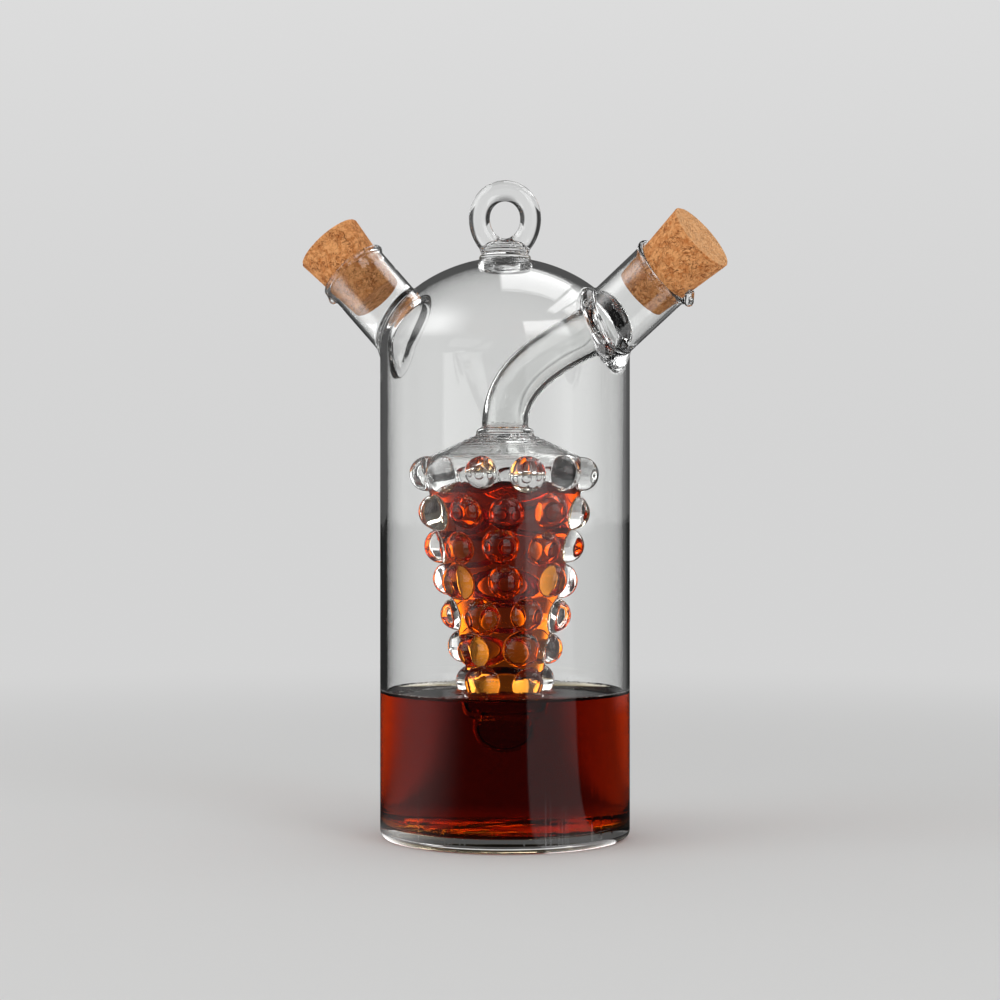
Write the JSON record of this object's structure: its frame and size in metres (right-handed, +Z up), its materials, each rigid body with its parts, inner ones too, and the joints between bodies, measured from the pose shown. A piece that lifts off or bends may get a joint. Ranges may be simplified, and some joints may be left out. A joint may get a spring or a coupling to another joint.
{
  "type": "liquor bottle",
  "caption": "Clear domed glass jar round a hanging grape-cluster vessel, each chamber with its own slanted corked spout, and a glass ring on top.",
  "frame": {"origin": "centre of the flat base, on the surface that the bottle stands on", "axes": "+Z up along the jar's axis, +X to the right and -Y to the front of the view that shows both spouts"},
  "size_m": [0.1257, 0.0795, 0.1972],
  "materials": {
    "clear_glass": "polished",
    "amber_liquor": "gloss",
    "cork": "matte"
  },
  "bodies": {
    "glass": {"outer_jar": "clear_glass", "hanging_ring": "clear_glass", "ring_foot": "clear_glass", "outer_spout": "clear_glass", "outer_weld": "clear_glass", "inner_spout": "clear_glass", "inner_weld": "clear_glass", "pour_tube": "clear_glass", "vessel_collar": "clear_glass", "grape_vessel": "clear_glass", "outer_liquor": "amber_liquor", "inner_liquor": "amber_liquor"},
    "left_cork": {"outer_cork": "cork"},
    "right_cork": {"inner_cork": "cork"}
  },
  "joints": [
    {"name": "left_cork_pull", "type": "slide", "parent": "glass", "child": "left_cork", "axis": [-0.6451, 0.1777, 0.7431], "range_m": [0, 0.03]},
    {"name": "right_cork_pull", "type": "slide", "parent": "glass", "child": "right_cork", "axis": [0.6782, -0.3884, 0.6239], "range_m": [0, 0.03]}
  ]
}
